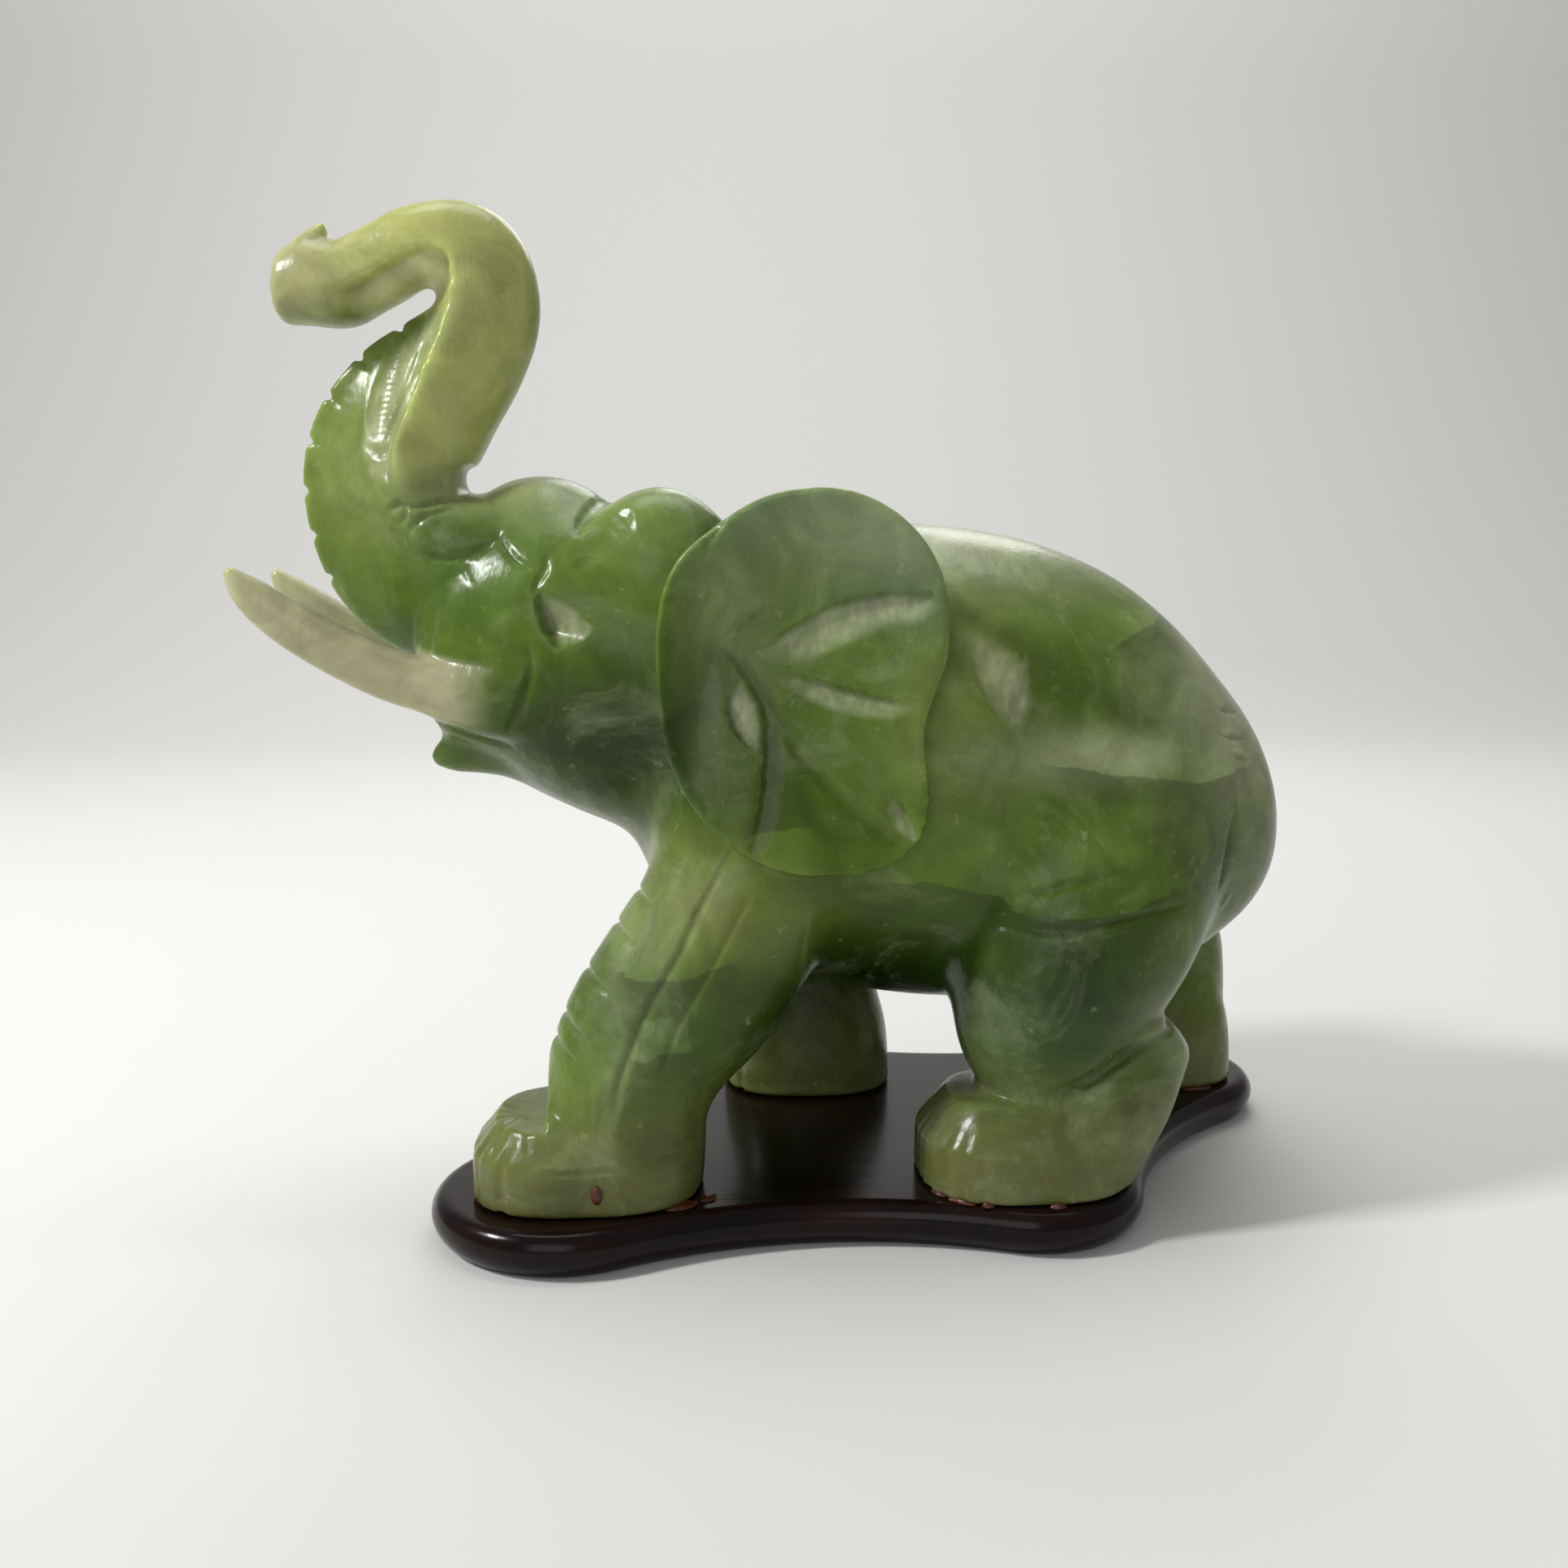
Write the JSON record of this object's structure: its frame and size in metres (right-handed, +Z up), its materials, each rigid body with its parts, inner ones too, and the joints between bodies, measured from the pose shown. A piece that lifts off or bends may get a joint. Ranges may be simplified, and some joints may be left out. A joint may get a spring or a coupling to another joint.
{
  "type": "elephant figurine",
  "caption": "Carved jade elephant with a raised, hooked trunk and upturned tusks, walking on a thin lobed stand of dark polished wood.",
  "frame": {"origin": "under the middle of the whole figurine, on the underside of the stand", "axes": "+Z up, +X from the head to the tail, +Y to the animal's far side in the picture (its right); the animal faces -X"},
  "size_m": [0.259, 0.1282, 0.2311],
  "materials": {
    "jade": "gloss",
    "lacquered_wood": "gloss"
  },
  "bodies": {
    "root": {"elephant": "jade", "stand": "lacquered_wood"}
  },
  "joints": []
}
